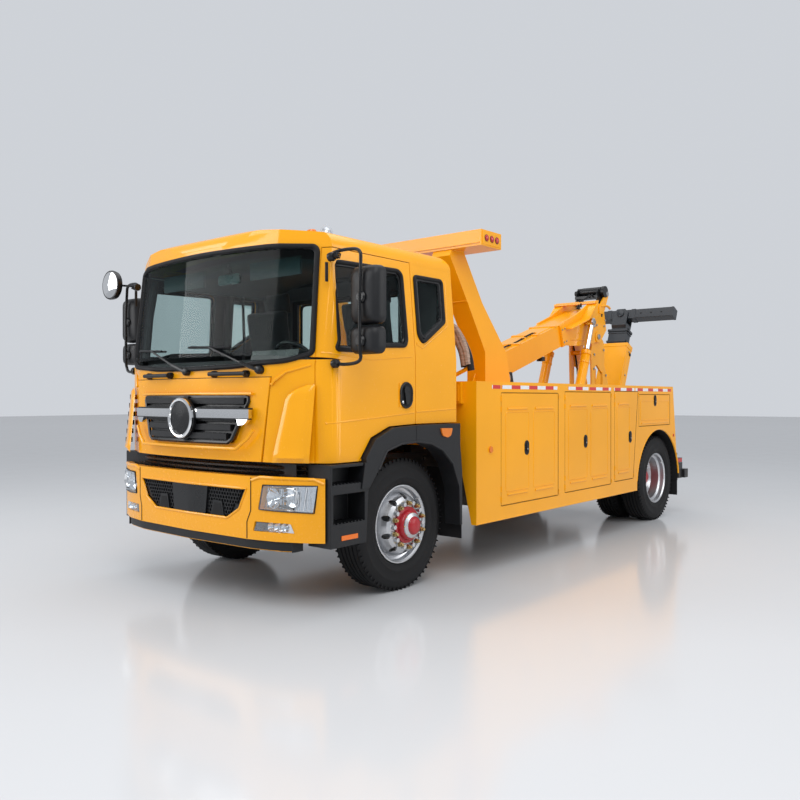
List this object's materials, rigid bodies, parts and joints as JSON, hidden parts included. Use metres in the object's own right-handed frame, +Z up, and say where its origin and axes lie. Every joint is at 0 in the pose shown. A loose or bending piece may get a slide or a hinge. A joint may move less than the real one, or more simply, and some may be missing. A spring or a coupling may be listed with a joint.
{
  "type": "tow truck",
  "caption": "Heavy tow truck: tilting cab over a locker body, with a lifting boom on two cylinders, a folding underlift with crossbar, opening doors and locker doors, steered wheels.",
  "frame": {"origin": "on the ground, midway between the front bumper and the crossbar, on the centre line", "axes": "+Z up, the truck faces -Y, +X is its left side"},
  "size_m": [3.038, 7.7057, 2.94],
  "materials": {
    "alloy": "polished",
    "black_plastic": "satin",
    "black_steel": "satin",
    "chrome": "polished",
    "glass": "polished",
    "grey_paint": "satin",
    "interior": "matte",
    "iron": "matte",
    "tyre": "matte",
    "yellow_paint": "gloss"
  },
  "bodies": {
    "chassis": {"chassis_frame": "black_steel", "engine_block": "iron", "front_axle": "black_steel", "rear_axle": "black_steel", "bumper": "yellow_paint", "steps_and_flares": "black_plastic", "gantry": "yellow_paint", "service_body": "yellow_paint"},
    "knuckle_left": {"steering_knuckle_left": "black_steel"},
    "knuckle_right": {"steering_knuckle_right": "black_steel"},
    "front_wheel_left": {"front_wheel_left": "alloy", "front_tyre_left": "tyre"},
    "front_wheel_right": {"front_wheel_right": "alloy", "front_tyre_right": "tyre"},
    "rear_wheels_left": {"rear_wheels_left": "alloy", "rear_tyres_left": "tyre"},
    "rear_wheels_right": {"rear_wheels_right": "alloy", "rear_tyres_right": "tyre"},
    "cab": {"cab_shell": "yellow_paint", "cab_interior": "interior", "cab_glass": "glass"},
    "door_left": {"door_left": "yellow_paint", "door_glass_left": "glass", "mirror_left": "black_plastic"},
    "door_right": {"door_right": "yellow_paint", "door_glass_right": "glass", "mirror_right": "black_plastic"},
    "front_panel": {"front_panel": "yellow_paint"},
    "boom": {"boom": "yellow_paint"},
    "inner_boom": {"inner_boom": "yellow_paint"},
    "lift_barrels": {"lift_cylinder_barrels": "yellow_paint"},
    "lift_rods": {"lift_cylinder_rods": "chrome"},
    "mast_link": {"mast_link": "yellow_paint"},
    "underlift_arm": {"underlift_arm": "yellow_paint"},
    "underlift_slide": {"underlift_slide": "grey_paint"},
    "crossbar": {"crossbar": "grey_paint"},
    "winch_drum": {"winch_drum": "black_steel"},
    "locker_door_left_1": {"locker_door_left_1": "yellow_paint"},
    "locker_door_left_2": {"locker_door_left_2": "yellow_paint"},
    "locker_door_left_3": {"locker_door_left_3": "yellow_paint"},
    "locker_flap_left": {"locker_flap_left": "yellow_paint"},
    "locker_door_right_1": {"locker_door_right_1": "yellow_paint"},
    "locker_door_right_2": {"locker_door_right_2": "yellow_paint"},
    "locker_door_right_3": {"locker_door_right_3": "yellow_paint"},
    "locker_flap_right": {"locker_flap_right": "yellow_paint"}
  },
  "joints": [
    {"name": "steer_left", "type": "hinge", "parent": "chassis", "child": "knuckle_left", "pos_m": [0.78, -2.685, 0.505], "axis": [0, 0, 1], "range_deg": [-32, 32]},
    {"name": "front_wheel_left_spin", "type": "hinge", "parent": "knuckle_left", "child": "front_wheel_left", "pos_m": [0.94, -2.685, 0.505], "axis": [1, 0, 0], "continuous": true},
    {"name": "rear_wheels_left_spin", "type": "hinge", "parent": "chassis", "child": "rear_wheels_left", "pos_m": [0.89, 2.015, 0.505], "axis": [1, 0, 0], "continuous": true},
    {"name": "steer_right", "type": "hinge", "parent": "chassis", "child": "knuckle_right", "pos_m": [-0.78, -2.685, 0.505], "axis": [0, 0, 1], "range_deg": [-32, 32]},
    {"name": "front_wheel_right_spin", "type": "hinge", "parent": "knuckle_right", "child": "front_wheel_right", "pos_m": [-0.94, -2.685, 0.505], "axis": [1, 0, 0], "continuous": true},
    {"name": "rear_wheels_right_spin", "type": "hinge", "parent": "chassis", "child": "rear_wheels_right", "pos_m": [-0.89, 2.015, 0.505], "axis": [1, 0, 0], "continuous": true},
    {"name": "cab_tilt", "type": "hinge", "parent": "chassis", "child": "cab", "pos_m": [0, -3.785, 0.7], "axis": [1, 0, 0], "range_deg": [0, 50]},
    {"name": "door_left_hinge", "type": "hinge", "parent": "cab", "child": "door_left", "pos_m": [1.186, -3.615, 1.6], "axis": [0, 0, -1], "range_deg": [0, 70]},
    {"name": "door_right_hinge", "type": "hinge", "parent": "cab", "child": "door_right", "pos_m": [-1.186, -3.615, 1.6], "axis": [0, 0, 1], "range_deg": [0, 70]},
    {"name": "front_panel_hinge", "type": "hinge", "parent": "cab", "child": "front_panel", "pos_m": [0, -3.857, 1.616], "axis": [-1, 0, 0], "range_deg": [0, 75]},
    {"name": "locker_door_left_1_hinge", "type": "hinge", "parent": "chassis", "child": "locker_door_left_1", "pos_m": [1.25, -1.563, 1.04], "axis": [0, 0, -1], "range_deg": [0, 100]},
    {"name": "locker_door_left_2_hinge", "type": "hinge", "parent": "chassis", "child": "locker_door_left_2", "pos_m": [1.25, -0.417, 1.04], "axis": [0, 0, -1], "range_deg": [0, 100]},
    {"name": "locker_door_left_3_hinge", "type": "hinge", "parent": "chassis", "child": "locker_door_left_3", "pos_m": [1.25, 0.703, 1.04], "axis": [0, 0, -1], "range_deg": [0, 100]},
    {"name": "locker_flap_left_hinge", "type": "hinge", "parent": "chassis", "child": "locker_flap_left", "pos_m": [1.25, 1.805, 1.15], "axis": [0, 1, 0], "range_deg": [0, 90]},
    {"name": "locker_door_right_1_hinge", "type": "hinge", "parent": "chassis", "child": "locker_door_right_1", "pos_m": [-1.25, -1.563, 1.04], "axis": [0, 0, 1], "range_deg": [0, 100]},
    {"name": "locker_door_right_2_hinge", "type": "hinge", "parent": "chassis", "child": "locker_door_right_2", "pos_m": [-1.25, -0.417, 1.04], "axis": [0, 0, 1], "range_deg": [0, 100]},
    {"name": "locker_door_right_3_hinge", "type": "hinge", "parent": "chassis", "child": "locker_door_right_3", "pos_m": [-1.25, 0.703, 1.04], "axis": [0, 0, 1], "range_deg": [0, 100]},
    {"name": "locker_flap_right_hinge", "type": "hinge", "parent": "chassis", "child": "locker_flap_right", "pos_m": [-1.25, 1.805, 1.15], "axis": [0, -1, 0], "range_deg": [0, 90]},
    {"name": "boom_lift", "type": "hinge", "parent": "chassis", "child": "boom", "pos_m": [0, 0.175, 1.69], "axis": [1, 0, 0], "range_deg": [-12, 22]},
    {"name": "lift_cylinder_tilt", "type": "hinge", "parent": "chassis", "child": "lift_barrels", "pos_m": [0, 1.565, 0.96], "axis": [1, 0, 0], "range_deg": [-12, 22]},
    {"name": "lift_cylinder_stroke", "type": "slide", "parent": "lift_barrels", "child": "lift_rods", "axis": [0, 0.3655, 0.9308], "range_m": [-0.33, 0.6]},
    {"name": "boom_extend", "type": "slide", "parent": "boom", "child": "inner_boom", "axis": [0, 0.9553, 0.2957], "range_m": [0, 1.2]},
    {"name": "mast_link_swing", "type": "hinge", "parent": "boom", "child": "mast_link", "pos_m": [0, 2.475, 2.285], "axis": [1, 0, 0], "range_deg": [-22, 12]},
    {"name": "underlift_fold", "type": "hinge", "parent": "mast_link", "child": "underlift_arm", "pos_m": [0, 2.885, 0.75], "axis": [-1, 0, 0], "range_deg": [-6, 66]},
    {"name": "underlift_extend", "type": "slide", "parent": "underlift_arm", "child": "underlift_slide", "axis": [0, 0.3987, 0.9171], "range_m": [0, 0.8]},
    {"name": "crossbar_swivel", "type": "hinge", "parent": "underlift_slide", "child": "crossbar", "pos_m": [0, 3.71719, 2.6639], "axis": [0, 0.9171, -0.3987], "range_deg": [-25, 25]},
    {"name": "winch_drum_spin", "type": "hinge", "parent": "boom", "child": "winch_drum", "pos_m": [0, 2.735, 2.88], "axis": [1, 0, 0], "continuous": true}
  ],
  "couplings": [
    {"joint": "steer_right", "follows": "steer_left", "ratio": 1},
    {"joint": "lift_cylinder_tilt", "follows": "boom_lift", "ratio": 0.83},
    {"joint": "lift_cylinder_stroke", "follows": "boom_lift", "m_per_rad": 1.54},
    {"joint": "mast_link_swing", "follows": "boom_lift", "ratio": -1}
  ]
}
